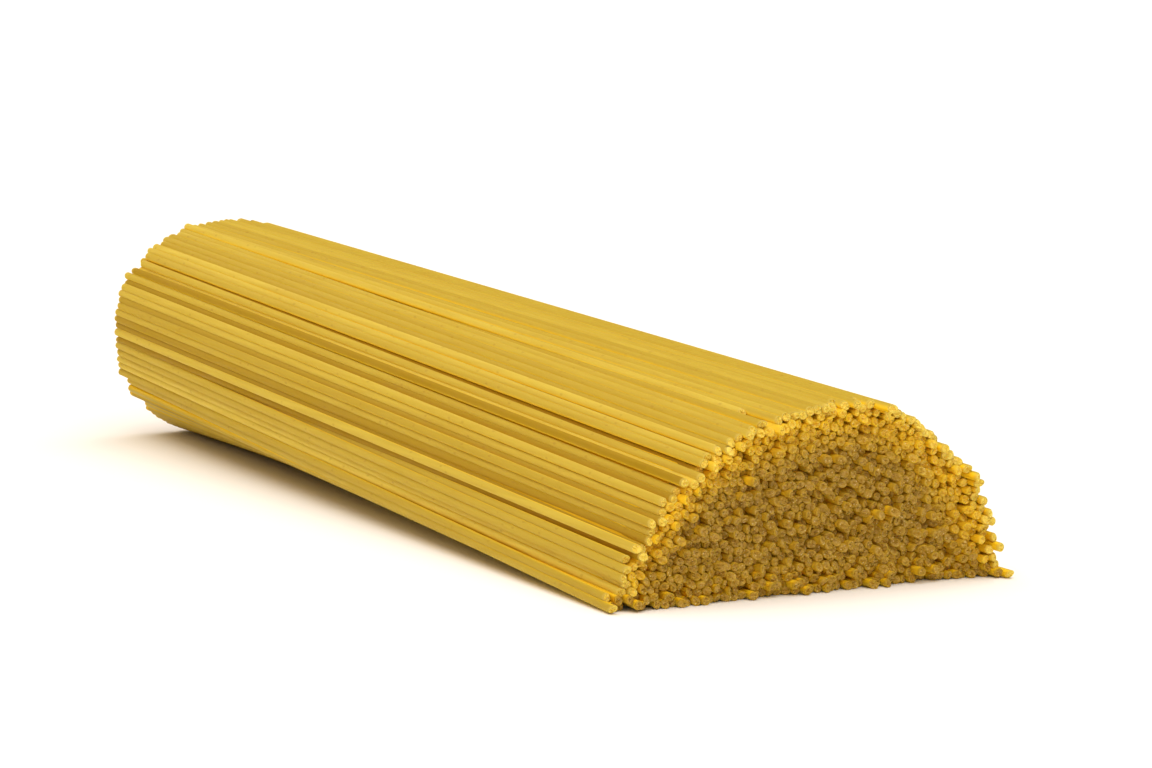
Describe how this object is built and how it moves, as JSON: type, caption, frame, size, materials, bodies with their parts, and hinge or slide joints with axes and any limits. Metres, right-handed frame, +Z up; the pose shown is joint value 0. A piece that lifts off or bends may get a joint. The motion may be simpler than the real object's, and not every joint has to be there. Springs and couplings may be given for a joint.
{
  "type": "bundle of dry spaghetti",
  "caption": "Loose bundle of straight dry spaghetti lying on a surface, round at the back end and slumped into a low half round with a flat base at the front.",
  "frame": {"origin": "under the middle of the bundle's box, on the surface that it lies on", "axes": "+Z up, strands along Y with the slumped front end towards -Y and the round back end towards +Y, +X to the right seen from the front"},
  "size_m": [0.0876, 0.2668, 0.0491],
  "materials": {
    "dry_pasta": "smooth, slightly translucent yellow"
  },
  "bodies": {
    "root": {"spaghetti_bundle": "dry_pasta"}
  },
  "joints": []
}
